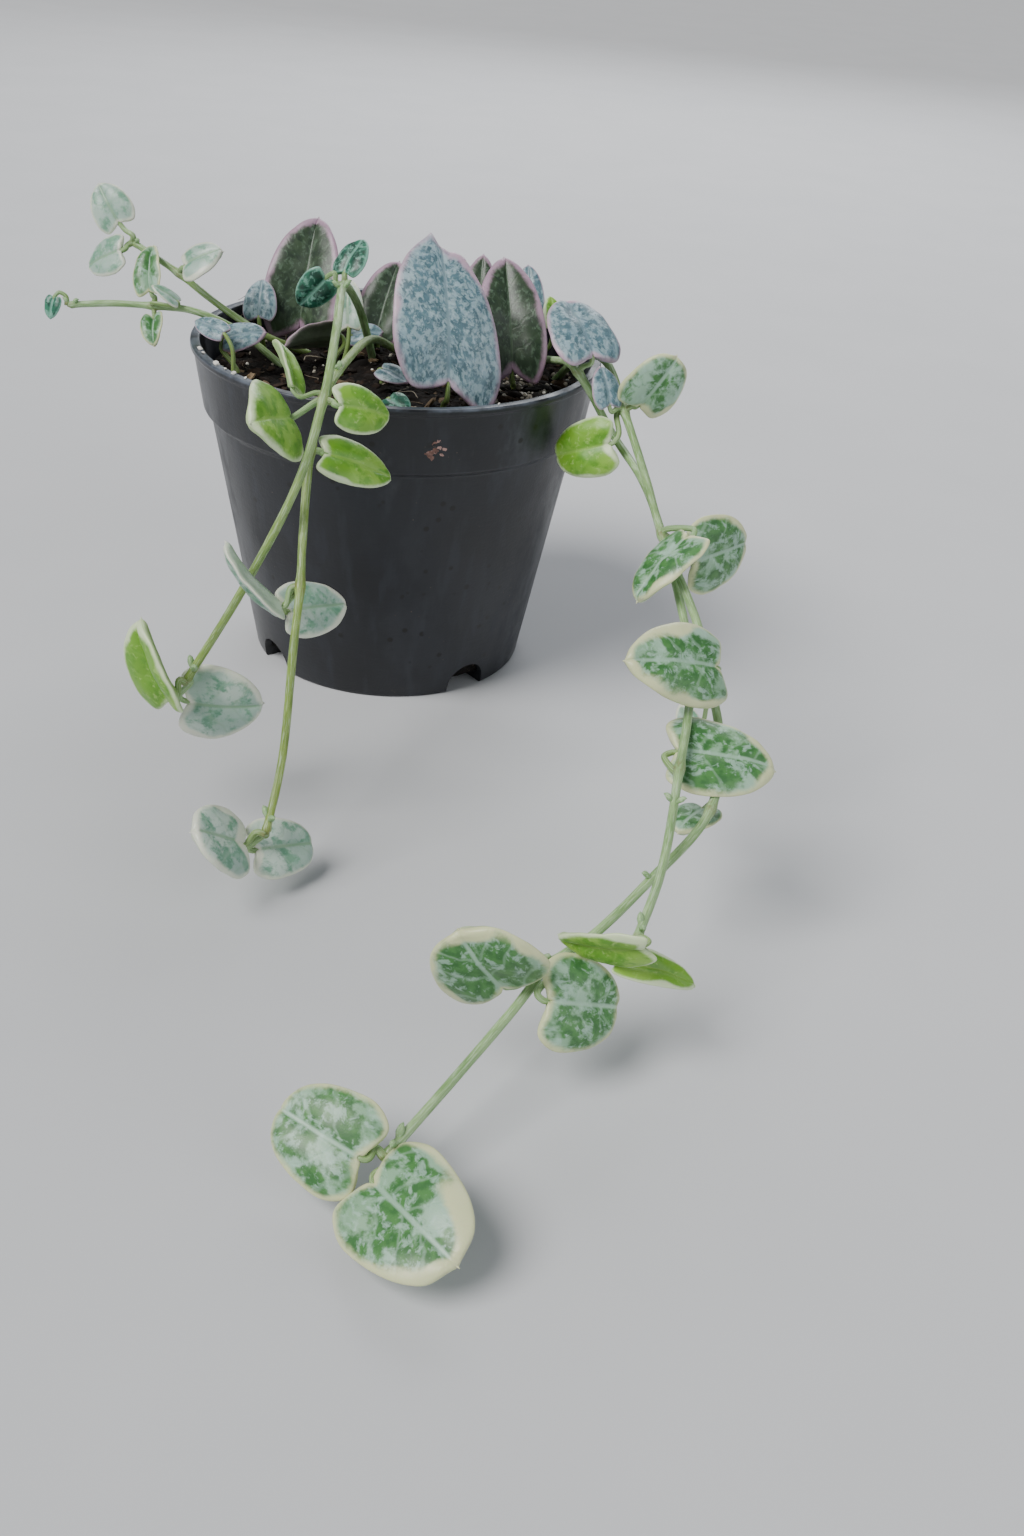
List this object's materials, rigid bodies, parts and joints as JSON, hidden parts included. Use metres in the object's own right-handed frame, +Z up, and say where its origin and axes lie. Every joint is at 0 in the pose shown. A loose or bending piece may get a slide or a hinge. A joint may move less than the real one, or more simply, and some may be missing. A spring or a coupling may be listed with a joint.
{
  "type": "potted string of hearts",
  "caption": "Trailing string-of-hearts succulent with variegated heart-shaped leaves, growing in a small round nursery pot.",
  "frame": {"origin": "middle of the pot's underside, on the surface that it stands on", "axes": "+Z up along the pot's axis; -Y towards the front, where the longest strands hang"},
  "size_m": [0.0982, 0.1633, 0.0648],
  "materials": {
    "pot_plastic": "semi-matt dark grey-blue moulded plastic",
    "potting_mix": "dark, damp bark and peat mix with pale grit",
    "stem": "waxy, pale green",
    "leaf_marbled": "waxy; silver-mint with dark green blotches and a cream edge",
    "leaf_silver": "waxy; fine grey-blue net with a pinkish edge",
    "leaf_fresh": "waxy; yellow-green with a white edge",
    "leaf_pale": "waxy; almost white with faint green veins",
    "leaf_olive": "waxy; olive green with a broad pink edge",
    "leaf_young": "waxy; dark teal green with white marbling"
  },
  "bodies": {
    "root": {"pot": "pot_plastic", "soil": "potting_mix", "stem_front_a": "stem", "stem_front_b": "stem", "stem_left_a": "stem", "stem_left_b": "stem", "stem_right_a": "stem", "stem_right_b": "stem", "leaf_crown_ovate": "leaf_olive", "leaf_crown_edge": "leaf_olive", "leaf_crown_round": "leaf_silver", "leaf_crown_low_left": "leaf_silver", "leaf_crown_over_rim": "leaf_silver", "leaf_crown_pink_back": "leaf_olive", "leaf_crown_big_silver": "leaf_silver", "leaf_crown_dark_right": "leaf_olive", "leaf_crown_pointed": "leaf_olive", "leaf_crown_behind_right": "leaf_silver", "leaf_crown_small_right": "leaf_fresh", "leaf_crown_blush": "leaf_pale", "leaf_crown_low_middle": "leaf_silver", "leaf_crown_low_front": "leaf_silver", "leaf_crown_under_silver": "leaf_young", "leaf_left_a_1": "leaf_pale", "leaf_left_a_2": "leaf_pale", "leaf_left_a_3": "leaf_pale", "leaf_left_b_1": "leaf_marbled", "leaf_left_b_2": "leaf_marbled", "leaf_left_b_3": "leaf_pale", "leaf_left_b_4": "leaf_young", "leaf_front_a_1": "leaf_young", "leaf_front_a_2": "leaf_young", "leaf_front_a_3": "leaf_fresh", "leaf_front_a_4": "leaf_fresh", "leaf_front_b_1": "leaf_fresh", "leaf_front_b_2": "leaf_fresh", "leaf_front_b_3": "leaf_pale", "leaf_front_b_4": "leaf_pale", "leaf_front_a_5": "leaf_fresh", "leaf_front_a_6": "leaf_pale", "leaf_front_b_5": "leaf_pale", "leaf_front_b_6": "leaf_pale", "leaf_right_a_1": "leaf_silver", "leaf_right_b_1": "leaf_silver", "leaf_right_b_2": "leaf_marbled", "leaf_right_b_3": "leaf_fresh", "leaf_right_b_4": "leaf_marbled", "leaf_right_b_5": "leaf_marbled", "leaf_right_a_2": "leaf_marbled", "leaf_right_a_5": "leaf_marbled", "leaf_right_b_6": "leaf_pale", "leaf_right_b_7": "leaf_marbled", "leaf_right_a_3": "leaf_fresh", "leaf_right_a_4": "leaf_fresh", "leaf_right_b_8": "leaf_marbled", "leaf_right_b_9": "leaf_marbled", "leaf_right_b_10": "leaf_marbled", "leaf_right_b_11": "leaf_marbled"}
  },
  "joints": []
}
